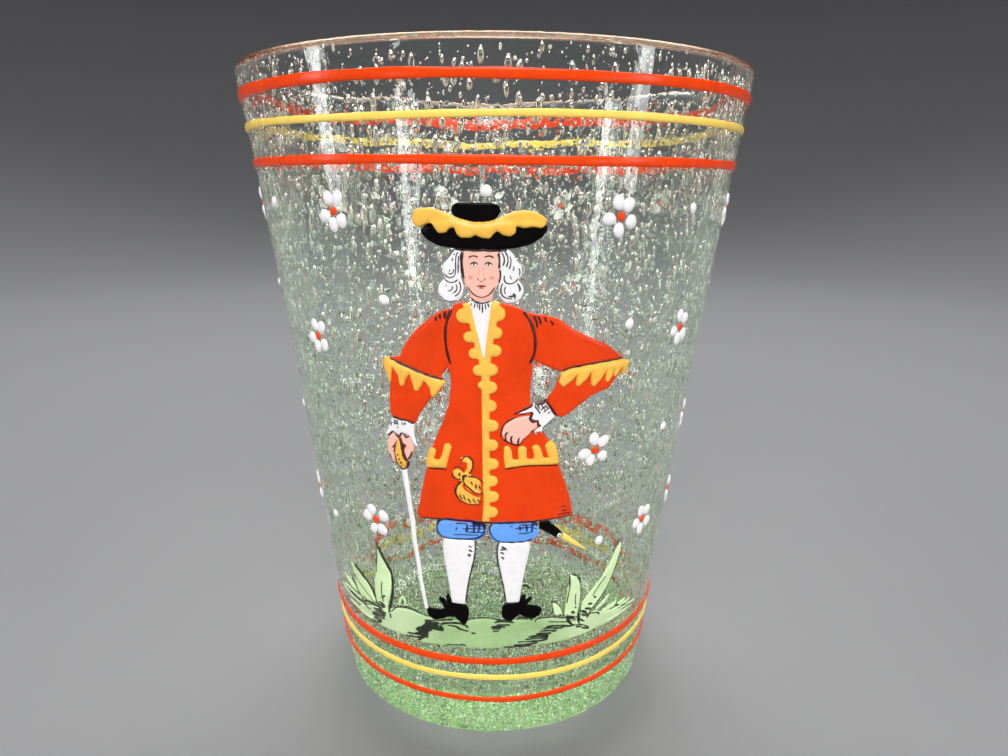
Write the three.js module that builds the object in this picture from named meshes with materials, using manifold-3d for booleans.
// A flared drinking glass of thick bubble glass, painted outside with raised enamel.
// Millimetres, +Z up, standing on Z = 0 with its axis on Z. The painted figure faces -Y.
// A point of the painting is [across, up]: across is the arc along the wall, to the right of the
// front line as the viewer sees it, and up is the height over the table. Left and right are the viewer's.
import * as THREE from 'three';
import { mergeVertices } from 'three/addons/utils/BufferGeometryUtils.js';
import Module from 'manifold-3d';

// The glass
const HEIGHT = 125;
const FOOT_RADIUS = 33.45;
const RIM_RADIUS = 48.95;
const WALL_BOW = 2.8;
const BASE_THICKNESS = 6.5;
const WALL_AT_FOOT = 3.2;
const WALL_AT_RIM = 2.4;
const FOOT_ROUNDING = 1.8;
const INNER_FILLET = 8;
const FACETS = 48;
const RING_HEIGHTS = [21, 42, 63, 84, 105];

// The gilding and the enamel, measured out from the glass
const GILT_GAP = 0.06;
const GILT_THICKNESS = 0.2;
const GILT_DROP = 0.4;
const FIRST_COAT = { inner: 0.06, outer: 0.46 };
const SECOND_COAT = { inner: 0.52, outer: 0.9 };
const BAND_COAT = { inner: 0.06, outer: 0.4 };
const PAINTED_FROM = 19.5;
const PAINTED_TO = 106;

// The painted rings: height of the middle, and width
const RIM_BAND_RED_UPPER = [119.5, 1.5];
const RIM_BAND_YELLOW = [114.3, 1.1];
const RIM_BAND_RED_LOWER = [108.1, 1.4];
const FOOT_BAND_RED_UPPER = [18.1, 1.5];
const FOOT_BAND_YELLOW = [14.2, 1.2];
const FOOT_BAND_RED_LOWER = [9.1, 1.2];

// The strewn flowers on the front half: degrees round from the front line, and height
const FLOWERS = [
  [-76, 101], [-33, 100.5], [25.8, 100], [72, 100.5],
  [-45.5, 79], [50.8, 80.4], [26.3, 60.5], [75, 59.5],
  [-75, 43], [-33.5, 45.3], [49.1, 42.5], [75, 42.5],
];
const PETALS = 5;
const PETAL_REACH = 3.4;
const PETAL_VALLEY = 1.9;
const PETAL_TURN = 18;

const surface = (color, roughness, metalness = 0) =>
  new THREE.MeshStandardMaterial({ color, roughness, metalness });
const glass = surface(0xc4dcc0, 0.05);
glass.transparent = true;
glass.opacity = 0.35;
const gilding = surface(0xb98a3c, 0.35, 1);
const red = surface(0xe44114, 0.3);
const yellow = surface(0xf0be4b, 0.35);
const white = surface(0xf2eef0, 0.3);
const black = surface(0x0a0606, 0.25);
const blue = surface(0x5fa0f5, 0.35);
const grassGreen = surface(0xaacd91, 0.4);
const leafGreen = surface(0xbee4a5, 0.4);
const flesh = surface(0xf2aa98, 0.4);

const wasm = await Module();
wasm.setup();
const object = new THREE.Group();

function add(name, geometry, material) {
  const mesh = new THREE.Mesh(geometry, material);
  mesh.name = name;
  object.add(mesh);
}

// Outer radius of the glass at a height: a cone drawn in a little half way up.
function wallRadius(up) {
  const part = up / HEIGHT;
  return FOOT_RADIUS + (RIM_RADIUS - FOOT_RADIUS) * part - WALL_BOW * part * (1 - part);
}

function innerRadius(up) {
  return wallRadius(up) - WALL_AT_FOOT - (WALL_AT_RIM - WALL_AT_FOOT) * (up / HEIGHT);
}

// A solid of revolution from [radius, up] points, with its first facet edge on the front line.
function turned(profile) {
  const points = profile.map(([radius, up]) => new THREE.Vector2(radius, up));
  return new THREE.LatheGeometry(points, FACETS).rotateX(Math.PI / 2);
}

// Points of an arc in the [radius, up] plane. Degrees run from straight out, upwards.
function arc(centreRadius, centreUp, radius, from, to, steps) {
  return Array.from({ length: steps + 1 }, (_, i) => {
    const angle = THREE.MathUtils.degToRad(from + ((to - from) * i) / steps);
    return [centreRadius + radius * Math.cos(angle), centreUp + radius * Math.sin(angle)];
  });
}

const LIP_RADIUS = WALL_AT_RIM / 2;
const LIP_UP = HEIGHT - LIP_RADIUS - GILT_GAP - GILT_THICKNESS;
const LIP_CENTRE = wallRadius(LIP_UP) - LIP_RADIUS;
const LIP_STEPS = 4;

function glassBody() {
  const filletUp = BASE_THICKNESS + INNER_FILLET;
  const filletCentre = innerRadius(filletUp) - INNER_FILLET;
  const innerHeights = RING_HEIGHTS.slice().reverse();
  const profile = [
    [0, 0],
    ...arc(wallRadius(0) - FOOT_ROUNDING, FOOT_ROUNDING, FOOT_ROUNDING, -90, 0, 4),
    ...RING_HEIGHTS.map((up) => [wallRadius(up), up]),
    ...arc(LIP_CENTRE, LIP_UP, LIP_RADIUS, 0, 180, LIP_STEPS),
    ...innerHeights.map((up) => [innerRadius(up), up]),
    ...arc(filletCentre, filletUp, INNER_FILLET, 0, -90, 5),
    [0, BASE_THICKNESS],
  ];
  add('glass_body', turned(profile), glass);
}

// The gilding folds over the lip and ends a little way down both sides of the wall.
function giltRim() {
  const foldedOver = (distance) => [
    [wallRadius(LIP_UP - GILT_DROP) + distance, LIP_UP - GILT_DROP],
    ...arc(LIP_CENTRE, LIP_UP, LIP_RADIUS + distance, 0, 180, LIP_STEPS),
    [innerRadius(LIP_UP - GILT_DROP) - distance, LIP_UP - GILT_DROP],
  ];
  const outside = foldedOver(GILT_GAP + GILT_THICKNESS);
  const inside = foldedOver(GILT_GAP).reverse();
  add('gilt_rim', turned([...outside, ...inside, outside[0]]), gilding);
}

// A closed ring of even thickness on the wall, between two coats' radii, through the given heights.
function wallRing(heights, coat) {
  const outer = heights.map((up) => [wallRadius(up) + coat.outer, up]);
  const inner = heights.map((up) => [wallRadius(up) + coat.inner, up]).reverse();
  return turned([...outer, ...inner, outer[0]]);
}

function band(name, [middle, width], material) {
  add(name, wallRing([middle - width / 2, middle + width / 2], BAND_COAT), material);
}

function solidOf(geometry) {
  const bare = geometry.clone();
  bare.deleteAttribute('normal');
  bare.deleteAttribute('uv');
  const merged = mergeVertices(bare);
  const vertProperties = new Float32Array(merged.attributes.position.array);
  const triVerts = new Uint32Array(merged.index.array);
  return new wasm.Manifold(new wasm.Mesh({ numProp: 3, vertProperties, triVerts }));
}

function geometryOf(solid) {
  const mesh = solid.getMesh();
  const geometry = new THREE.BufferGeometry();
  geometry.setAttribute('position', new THREE.BufferAttribute(mesh.vertProperties, 3));
  geometry.setIndex(new THREE.BufferAttribute(mesh.triVerts, 1));
  return geometry;
}

function onWall([across, up]) {
  const radius = wallRadius(up);
  const angle = across / radius;
  return new THREE.Vector3(radius * Math.sin(angle), -radius * Math.cos(angle), up);
}

// A pyramid from a point on the axis through an outline on the wall and well beyond it.
const PYRAMID_REACH = 3;
function pyramid(outline) {
  const flat = outline.map(([across, up]) => new THREE.Vector2(across, up));
  const points = THREE.ShapeUtils.isClockWise(flat) ? outline.slice().reverse() : outline;
  const contour = points.map(([across, up]) => new THREE.Vector2(across, up));
  const ups = points.map(([, up]) => up);
  const apex = new THREE.Vector3(0, 0, (Math.min(...ups) + Math.max(...ups)) / 2);
  const far = points.map((point) => onWall(point).sub(apex).multiplyScalar(PYRAMID_REACH).add(apex));
  const triangles = THREE.ShapeUtils.triangulateShape(contour, []).flat();
  far.forEach((_, i) => triangles.push(far.length, (i + 1) % far.length, i));
  const geometry = new THREE.BufferGeometry().setFromPoints([...far, apex]);
  geometry.setIndex(triangles);
  return geometry;
}

const paintedHeights = [PAINTED_FROM, ...RING_HEIGHTS, PAINTED_TO];
const firstCoat = solidOf(wallRing(paintedHeights, FIRST_COAT));
const secondCoat = solidOf(wallRing(paintedHeights, SECOND_COAT));

// A field of enamel: the part of a coat inside its outline.
function field(name, material, outline, coat = firstCoat) {
  add(name, geometryOf(coat.intersect(solidOf(pyramid(outline)))), material);
}

function hat() {
  field('hat_crown', black, [
    [-5.9, 100.9], [-5.7, 101.6], [-5, 102], [0.4, 102], [1.1, 101.6], [1.4, 100.9],
    [1, 100.2], [0.3, 99.6], [-1.8, 99.3], [-3.9, 99.6], [-5.5, 100.2],
  ]);
  field('hat_brim', black, [
    [-10.7, 97.8], [-9.8, 96.7], [-8, 95.8], [-6.3, 95.5], [-2.7, 95.3], [0.9, 95.3], [3.5, 95.5],
    [5.8, 96], [7.6, 97.1], [8.5, 98.3], [8.2, 98.8], [5.8, 99.3], [2.9, 99.3], [0.6, 99],
    [-1.8, 98.7], [-4.2, 99], [-6.5, 99.4], [-9.2, 99.1], [-10.1, 98.6],
  ]);
  field('hat_lace', yellow, [
    [-12, 99.6], [-11.7, 100.8], [-10.8, 101.2], [-9, 101.3], [-7.9, 101], [-6.5, 100.5],
    [-5.1, 99.9], [-2.7, 99.3], [-0.9, 99.3], [0.5, 99.6], [1.7, 100.2], [3.3, 100.8], [4.9, 101],
    [6.5, 100.8], [7.9, 100.1], [8.4, 99.4], [8.1, 98.9], [7.4, 98.4], [6.2, 98.6], [4.7, 98.4],
    [3.7, 98.7], [3.6, 97.7], [2.8, 97.2], [1.7, 97.4], [0.9, 98], [0.3, 97.5], [-0.2, 96.9],
    [-1.4, 97], [-2.4, 97.4], [-3, 97], [-4.5, 97], [-5.1, 97.5], [-5.5, 98.5], [-6.2, 98.3],
    [-6.7, 97.7], [-7.8, 97.6], [-8.4, 98.3], [-8.8, 99], [-9.2, 99.1], [-9.9, 98.8],
    [-11, 98.3], [-11.7, 98.8],
  ], secondCoat);
}

function headAndWig() {
  field('head', flesh, [
    [-3.9, 95], [-4.2, 93.2], [-4.15, 91.4], [-3.8, 89.9], [-3.1, 88.7], [-2.95, 87.4],
    [-0.05, 87.4], [0.1, 88.7], [0.8, 89.9], [1.15, 91.4], [1.2, 93.2], [0.9, 95],
  ]);
  field('wig_left', white, [
    [-4.6, 95.1], [-5.5, 94.9], [-6.2, 94], [-7.2, 92.9], [-7.4, 92], [-6.9, 90.9], [-7.8, 90],
    [-8.2, 88.9], [-7.7, 87.6], [-6.6, 87], [-5.3, 87.3], [-4.5, 88.3], [-4.3, 89.6],
    [-4.7, 90.8], [-4.75, 92.5], [-4.6, 94.2],
  ]);
  field('wig_right', white, [
    [1.4, 95.1], [2.6, 95.1], [3.3, 94.4], [3.7, 93.5], [4.5, 92.7], [4.6, 91.5], [4, 90.6],
    [4.7, 89.8], [4.9, 88.9], [4.4, 87.7], [3.4, 87.15], [2.2, 87.2], [1.35, 88.1], [1.2, 89.4],
    [1.5, 90.8], [1.45, 92.7], [1.4, 94.3],
  ]);
  field('neck_cloth', white, [
    [-3.3, 87.1], [0.1, 87.1], [-0.2, 84.3], [-0.6, 81.8], [-1, 78.9], [-1.1, 78.1], [-1.3, 78.6],
    [-2, 82], [-2.9, 85.1],
  ]);
}

function coat() {
  field('coat_body', red, [
    [-3.45, 86.85], [-4.9, 86.75], [-6, 86.1], [-6.7, 84.55], [-7.1, 82.8], [-7.15, 80.95],
    [-6.9, 79.1], [-6.55, 77.55], [-6.85, 76.4], [-6.5, 75.3], [-6.4, 73.6], [-6.6, 71.9],
    [-6.8, 70], [-7.5, 68.1], [-7.9, 66.9], [-8.75, 65], [-9.55, 63], [-10.45, 60.7],
    [-10.95, 58.3], [-11.6, 55.9], [-12.2, 53.4], [-12.7, 50.8], [-13.3, 49.1], [-12.7, 48.25],
    [-8, 48.5], [-3.6, 48.25], [-0.1, 48.2], [3.7, 48.2], [8.9, 48.35], [12.6, 48.5],
    [14.3, 48.65], [14.1, 50.4], [13.7, 52.2], [12.9, 54.6], [12.3, 56.4], [11.6, 58.1],
    [10.8, 62.6], [9.2, 63.8], [8.6, 64.7], [6.2, 70.4], [6.1, 72.7], [6.3, 74.6], [6.5, 76.3],
    [6.3, 77.2], [6.75, 78.8], [6.9, 80.4], [6.75, 81.8], [6.35, 83.3], [5.8, 84.5], [4.9, 85.6],
    [3.3, 86.3], [1.5, 86.75], [0.25, 86.85], [0, 84.2], [-0.4, 81.7], [-0.8, 78.8],
    [-1.1, 77.9], [-1.5, 78.7], [-2.15, 82], [-3.05, 85],
  ]);
  field('sleeve_left_upper', red, [
    [-6.6, 85.9], [-8.45, 85.1], [-10.2, 83.85], [-11.7, 82.6], [-13, 81.15], [-14.2, 79.45],
    [-15.1, 77.6], [-16.9, 77.4], [-15.1, 76.9], [-12.5, 75.85], [-10.3, 75.05], [-7.9, 74.3],
    [-8.3, 75], [-7.6, 75.9], [-7.1, 76.6], [-6.9, 77.5], [-7.25, 79.15], [-7.45, 80.95],
    [-7.4, 82.85], [-7, 84.6],
  ]);
  field('sleeve_left_lower', red, [
    [-17, 76.8], [-17.1, 73], [-17.35, 70.8], [-17.4, 67.75], [-17.1, 67.05], [-15.25, 66.75],
    [-12.95, 66.35], [-12.25, 67.95], [-11.05, 69.65], [-10, 71.1], [-8.5, 72.1], [-7.85, 73.3],
    [-8.1, 73.95], [-10.3, 74.75], [-12.5, 75.55], [-15, 76.5],
  ]);
  field('sleeve_right_upper', red, [
    [5.4, 85.45], [6.9, 85.1], [8.6, 84.8], [10.45, 84.3], [11.5, 83.6], [13.15, 82.35],
    [15, 81.5], [16.75, 80.6], [19.15, 79.5], [21.3, 78.05], [22.75, 76.95], [21.3, 76.85],
    [16.8, 76.55], [14.1, 76.35], [12.5, 76.1], [11.6, 75.65], [10.5, 76.05], [8.7, 76.8],
    [7.25, 77.65], [6.8, 77.75], [7.05, 78.8], [7.2, 80.4], [7.05, 81.9], [6.65, 83.4], [6.1, 84.6],
  ]);
  field('sleeve_right_lower', red, [
    [10.5, 72.75], [10, 71.85], [9.1, 71.05], [9.85, 69.4], [11, 67.85], [12.05, 67.7],
    [13.5, 68.6], [14.75, 69.5], [16.6, 70.75], [18.3, 71.5], [20.15, 71.85], [21, 72.8],
    [21.4, 73.45], [22.8, 74.95], [22.9, 75.9], [21.3, 76.5], [16.8, 76.15], [14.1, 75.95],
    [12.4, 75.6], [11.6, 75.2], [10.9, 74.2],
  ]);
}

// The yellow lace down the coat front has a row of round tabs: height, and how far right each reaches.
const FRONT_TABS = [
  [85.1, 2.25], [82.4, 1.8], [79.3, 1.65], [76.1, 1.25], [73, 1.3], [70, 1.25],
  [66.3, 1.2], [62.9, 1.25], [59.3, 1.2], [56.3, 1.2], [53.25, 1.2], [50.5, 1.15],
];
const TAB_HALF = 0.85;
const TAB_ROOT = -0.15;
const LAPEL_FROM = 78;
const LAPEL_SLANT = 0.09;

function lace() {
  const tabs = FRONT_TABS.flatMap(([up, reach]) => [
    [TAB_ROOT + Math.max(0, up - LAPEL_FROM) * LAPEL_SLANT, up + TAB_HALF + 0.45],
    [reach * 0.75, up + TAB_HALF],
    [reach, up],
    [reach * 0.75, up - TAB_HALF],
  ]);
  field('front_lace', yellow, [
    [-4.15, 86.9], [-4.8, 86.4], [-5.4, 85.1], [-5.1, 84.15], [-4.3, 83.75], [-3.75, 83.3],
    [-3.55, 82.6], [-4.3, 82], [-4.35, 81.5], [-3.85, 80.75], [-2.95, 80.65], [-2.7, 79.9],
    [-3.4, 79.1], [-3.4, 78.4], [-2.75, 77.95], [-2.1, 77.85], [-2, 77.15], [-2.95, 76.4],
    [-2.75, 75.6], [-2, 75.1], [-1.6, 74.9], [-1.6, 74.3], [-2.1, 74], [-2.1, 73.4], [-1.6, 72.5],
    [-1.5, 71.85], [-1.6, 65.6], [-1.35, 60], [-1.35, 54.4], [-1.5, 48.3], [-0.35, 48.3],
    ...tabs.reverse(), [1.2, 86.75], [0.7, 87.3], [0.2, 86.75], [-0.25, 83.65], [-0.55, 80.95],
    [-0.95, 78.05], [-1.2, 77.85], [-1.7, 80.35], [-2.3, 82.8], [-2.9, 85.15], [-3.35, 86.75],
  ], secondCoat);
  field('cuff_lace_left', yellow, [
    [-18.4, 76.8], [-17.8, 77.45], [-17, 77.35], [-15.1, 76.75], [-12.5, 75.75], [-10.3, 75],
    [-7.7, 74.2], [-7.3, 73.8], [-7.6, 73.4], [-8.5, 72.35], [-9.2, 71.1], [-9.8, 71.2],
    [-10, 72.75], [-10.9, 73.9], [-11.4, 73.1], [-12.1, 72], [-12.7, 72.1], [-12.9, 73.1],
    [-13.4, 74.85], [-14.1, 73.9], [-14.6, 72.7], [-15.2, 72.7], [-15.5, 74.5], [-16.4, 75.75],
    [-16.7, 74.45], [-16.9, 73.1], [-17.4, 73.2], [-18.1, 75.15],
  ], secondCoat);
  field('cuff_lace_right', yellow, [
    [11.4, 75.3], [12.4, 76], [16.8, 76.45], [21.3, 76.75], [24.3, 76.4], [24.2, 75.9],
    [23.9, 74.8], [23.1, 73.7], [22.6, 74.2], [22.5, 75.45], [21.9, 74.5], [21.1, 73.75],
    [20.9, 74.2], [20.95, 75.25], [20.7, 74.2], [19.75, 72.9], [19.3, 73.3], [19.35, 75.15],
    [18.6, 73.9], [17.15, 72.45], [16.6, 72.9], [16.5, 75.1], [15.8, 74], [14.3, 72.75],
    [13.8, 73.2], [14, 74.9], [13.3, 74], [11.6, 72.9], [10.85, 73.8],
  ], secondCoat);
  field('pocket_lace_left', yellow, [
    [-10.45, 61.9], [-9.7, 62.05], [-9.2, 61.5], [-9.7, 60], [-8.8, 59.9], [-8.35, 60.7],
    [-7.8, 62.9], [-7, 63.1], [-6.55, 62.4], [-7.15, 60.4], [-7.6, 58.5], [-10.45, 58.3],
    [-11.25, 58.5], [-11.35, 59.25], [-10.95, 60.7],
  ], secondCoat);
  field('pocket_lace_right', yellow, [
    [2.25, 58.7], [2, 60.7], [2, 62.6], [2.45, 62.9], [3, 62.7], [3.35, 61.9], [3.5, 60.4],
    [4.45, 60.3], [4.3, 61.9], [4.45, 62.6], [5.2, 62.8], [5.8, 62.4], [5.9, 60.4], [7, 60.3],
    [7, 61.1], [6.65, 62.4], [7, 62.9], [7.8, 62.8], [8.3, 61.9], [8.65, 60.5], [9.6, 60.3],
    [9.2, 61.3], [8.8, 62.6], [9.4, 63.3], [10.05, 63.4], [10.85, 62.6], [11.35, 61.1],
    [11.65, 60], [11.35, 59.1], [10.3, 59], [6.05, 59.2], [3.3, 58.9],
  ], secondCoat);
}

function hands() {
  field('shirt_cuff_left', white, [
    [-17, 66.8], [-13.15, 66.15], [-13.35, 64.4], [-13.15, 62.95], [-12.8, 61.75],
    [-13.55, 62.75], [-14.05, 63.65], [-15.1, 64.05], [-15.9, 63.5], [-17.05, 64.05],
    [-18, 63.5], [-18.8, 63.35], [-18.1, 64.4], [-17.7, 65.65],
  ]);
  field('hand_left', flesh, [
    [-17.9, 63.25], [-18.4, 61.8], [-18.5, 60.3], [-18.05, 59.15], [-17.2, 58.2], [-16.3, 57.75],
    [-15.2, 58], [-14.25, 59.3], [-13.6, 60.5], [-13.45, 61.8], [-14.15, 63.2], [-15.1, 63.75],
    [-15.9, 63.2], [-17.05, 63.75],
  ]);
  field('shirt_cuff_right', white, [
    [8.75, 70.55], [10.7, 67.8], [8.75, 65.8], [8.3, 65.2], [7.3, 64.75], [7, 65.4], [8, 66.35],
    [7.7, 67.1], [6.35, 67.65], [6.8, 68.6], [4.1, 68.6], [5.55, 69.1], [6.95, 70.05],
  ], secondCoat);
  field('hand_right', flesh, [
    [6.3, 68.2], [5.1, 68.1], [3.3, 67.6], [2.05, 66.5], [1.55, 65.2], [2.05, 64.1], [3.3, 63.3],
    [4.6, 63], [5.2, 63.7], [6.05, 64.7], [6.75, 65.35], [7.7, 66.3], [7.45, 66.95], [6.05, 67.5],
  ], secondCoat);
}

// The cane's middle line, drawn as a stroke that narrows downwards.
const CANE_LINE = [
  [-15.5, 57.3], [-15.2, 54.2], [-14.75, 50.5], [-14.3, 46.6], [-14.15, 42.8],
  [-13.6, 38.7], [-13.15, 34.5], [-12.7, 31.4], [-12.25, 28.9],
];
const CANE_TOP_HALF = 0.45;
const CANE_TIP_HALF = 0.25;

function caneAndSword() {
  field('cane_handle', yellow, [
    [-16.1, 63.3], [-16.65, 61.8], [-16.9, 60.3], [-16.7, 59], [-16.15, 57.7], [-15.4, 57.4],
    [-14.7, 58], [-14.55, 58.8], [-15.05, 59.9], [-15.3, 61.4], [-15.6, 62.7],
  ], secondCoat);
  const half = (i) => CANE_TOP_HALF + ((CANE_TIP_HALF - CANE_TOP_HALF) * i) / (CANE_LINE.length - 1);
  const left = CANE_LINE.map(([across, up], i) => [across - half(i), up]);
  const right = CANE_LINE.map(([across, up], i) => [across + half(i), up]);
  field('cane', white, [...left, ...right.reverse()]);
  field('sword_hilt', yellow, [
    [-5.2, 60.2], [-5, 60.6], [-4.1, 60.7], [-3.15, 59.8], [-3.15, 58.7], [-3.6, 57.6],
    [-3.3, 57.25], [-1.85, 56.3], [-1.7, 54.9], [-1.75, 54.2], [-1.85, 53.3], [-1.9, 52.2],
    [-2.45, 51.75], [-3.95, 51.85], [-5.4, 52.65], [-6, 53.95], [-5.75, 55.3], [-5.3, 56.2],
    [-5.95, 56.65], [-6.55, 57.3], [-6.4, 58.1], [-5.7, 58.45], [-5.05, 58.1], [-4.6, 57.6],
    [-4.1, 58.5], [-4.1, 59.6], [-4.8, 59.6],
  ], secondCoat);
  field('scabbard', black, [
    [8.6, 48.1], [9.5, 48.1], [12.4, 45.2], [12.6, 44.5], [11.9, 44.2], [8.6, 46.6],
  ]);
  field('scabbard_tip', yellow, [
    [12.95, 44.85], [12.45, 44], [15.5, 41.85], [17.9, 40.3], [16, 42.25], [14.1, 43.85],
  ]);
}

// A breeches leg is a lying oblong with round ends.
function roundOblong(left, right, low, high) {
  const radius = (high - low) / 2;
  const middle = (high + low) / 2;
  return [
    ...arc(right - radius, middle, radius, -90, 90, 6),
    ...arc(left + radius, middle, radius, 90, 270, 6),
  ];
}

function legs() {
  field('breeches_left', blue, roundOblong(-9.8, -1.1, 44.5, 47.95));
  field('breeches_right', blue, roundOblong(-0.4, 8.3, 44.1, 47.95));
  field('stocking_left', white, [
    [-8.4, 44.25], [-8.6, 43.6], [-8.6, 41.9], [-8.3, 39.25], [-7.9, 36.35], [-7.4, 33],
    [-7.3, 31.05], [-4.8, 30.95], [-4.6, 32.6], [-4.1, 35.7], [-3.6, 38.8], [-3, 40.9],
    [-2.8, 42.95], [-3.1, 44.25],
  ]);
  field('stocking_right', white, [
    [1.4, 43.85], [1.1, 42.55], [1.2, 40.9], [1.6, 38.2], [2.1, 35.5], [2.5, 32.6], [2.7, 31.45],
    [5, 31.45], [5.1, 32.6], [5.5, 35.5], [5.95, 38.4], [6.45, 40.9], [6.8, 42.95], [6.55, 43.85],
  ]);
  field('shoe_left', black, [
    [-12.3, 28.4], [-11.9, 29], [-10.7, 29.1], [-9.5, 29.05], [-8.7, 29.5], [-9.9, 31.3],
    [-9.4, 31.9], [-8.1, 30.6], [-8.5, 32.1], [-7.9, 32.4], [-7.2, 30.95], [-5.5, 30.9],
    [-4.5, 30.5], [-4.1, 29.65], [-4.1, 28.4], [-4.5, 26.95], [-4.9, 26.3], [-5.9, 26.95],
    [-6.9, 27.75], [-7.7, 27.75], [-9.1, 27.05], [-10.7, 26.6], [-11.9, 27.1],
  ], secondCoat);
  field('shoe_right', black, [
    [1.8, 29], [1.9, 30.5], [2.5, 31.2], [4.9, 31.35], [5.5, 32.9], [6.1, 32.7], [5.8, 31.2],
    [6.9, 32.3], [7.4, 31.9], [6.3, 30.7], [7.5, 30.4], [8.7, 30.1], [9.4, 29.25], [9, 28.1],
    [7.9, 27.45], [6.5, 27.45], [5.1, 28.6], [4.5, 28], [3.7, 27.35], [2.5, 27.55], [1.9, 28.2],
  ], secondCoat);
}

function ground() {
  field('grass_mound', grassGreen, [
    [-30.8, 22.3], [-29.5, 23.1], [-28, 23.9], [-25.5, 24.9], [-21.4, 25.4], [-20, 26.4],
    [-18.6, 27], [-16.4, 27.4], [-14.3, 27.3], [-12.4, 26.75], [-4, 27.1], [-1.9, 27.8],
    [0.1, 27.9], [2.1, 27.6], [8, 27.05], [10.1, 27], [12.1, 26.6], [13.7, 26.5], [15.4, 24.95],
    [17.5, 24.7], [19.5, 25.8], [20.9, 25.95], [22.5, 24.9], [26.8, 25.6], [25.6, 24.2],
    [29.6, 25.5], [28, 23.7], [31.2, 24.4], [29.8, 23.2], [33.8, 23], [30.7, 22], [25.8, 21.6],
    [20.9, 21.5], [16.1, 21.1], [11.3, 21.1], [6.1, 21.2], [-2, 21.05], [-10, 20.9],
    [-13.8, 20.6], [-15.5, 21.2], [-21.9, 20.95], [-24.2, 21.1], [-27.2, 21.2], [-30, 21.5],
  ]);
  field('leaf_left_tall', leafGreen, [
    [-22.7, 39.7], [-21.7, 38.2], [-20.7, 36.3], [-19.9, 34.5], [-19.8, 32.2], [-20.3, 29.4],
    [-21.1, 26.7], [-21.3, 25.3], [-22.2, 25.2], [-24.1, 26.4], [-24.4, 29.2], [-24.2, 31.3],
    [-23.7, 33.5], [-23.1, 35.8], [-22.9, 38],
  ], secondCoat);
  field('leaf_left_broad', leafGreen, [
    [-31.6, 32.7], [-29.1, 32], [-27.1, 30.7], [-25.4, 28.6], [-24.45, 27.2], [-24.5, 26.1],
    [-26.1, 25.75], [-28.5, 25.8], [-29.8, 26.6], [-30.6, 28.3], [-30.9, 30.4],
  ]);
  field('leaf_left_low', leafGreen, [
    [-34.9, 27.7], [-33, 28.1], [-31.5, 27.4], [-30.2, 26.4], [-28.1, 25.3], [-31.5, 26.2],
    [-33.6, 26.8],
  ], secondCoat);
  field('leaf_right_small', leafGreen, [
    [11.2, 30.45], [12.5, 29.9], [13.4, 28.6], [13.6, 26.9], [11.9, 27.4], [11.4, 28.7],
  ], secondCoat);
  field('leaf_right_upright', leafGreen, [
    [13.9, 27.05], [14, 29.8], [14.3, 32.3], [14.7, 34.1], [14.6, 35.5], [16, 34.95],
    [17, 32.95], [17.2, 30.95], [17.1, 28.4], [16.6, 25.9],
  ], secondCoat);
  field('leaf_right_long', leafGreen, [
    [17.4, 25], [17.6, 28.85], [19.45, 30.9], [21.8, 33], [23.8, 35.85], [25, 37.95], [26.1, 39.4],
    [26.6, 38.85], [26.25, 36.25], [25.1, 33.35], [23.3, 30.1], [21.4, 27.75], [19.5, 25.85],
  ], secondCoat);
}

// A flower is a rosette of round petals about a dot, drawn as one waved outline.
function rosette(centreAcross, centreUp) {
  const steps = PETALS * 4;
  return Array.from({ length: steps }, (_, i) => {
    const swell = (1 + Math.cos((2 * Math.PI * i) / 4)) / 2;
    const reach = PETAL_VALLEY + (PETAL_REACH - PETAL_VALLEY) * Math.sqrt(swell);
    const angle = THREE.MathUtils.degToRad(PETAL_TURN + (360 * i) / steps);
    return [centreAcross + reach * Math.cos(angle), centreUp + reach * Math.sin(angle)];
  });
}

function flowers() {
  FLOWERS.forEach(([degrees, up], i) => {
    const across = THREE.MathUtils.degToRad(degrees) * wallRadius(up);
    field(`flower_${i + 1}`, white, rosette(across, up));
  });
}

glassBody();
giltRim();
band('rim_band_red_upper', RIM_BAND_RED_UPPER, red);
band('rim_band_yellow', RIM_BAND_YELLOW, yellow);
band('rim_band_red_lower', RIM_BAND_RED_LOWER, red);
band('foot_band_red_upper', FOOT_BAND_RED_UPPER, red);
band('foot_band_yellow', FOOT_BAND_YELLOW, yellow);
band('foot_band_red_lower', FOOT_BAND_RED_LOWER, red);
hat();
headAndWig();
coat();
lace();
hands();
caneAndSword();
legs();
ground();
flowers();

export default object;
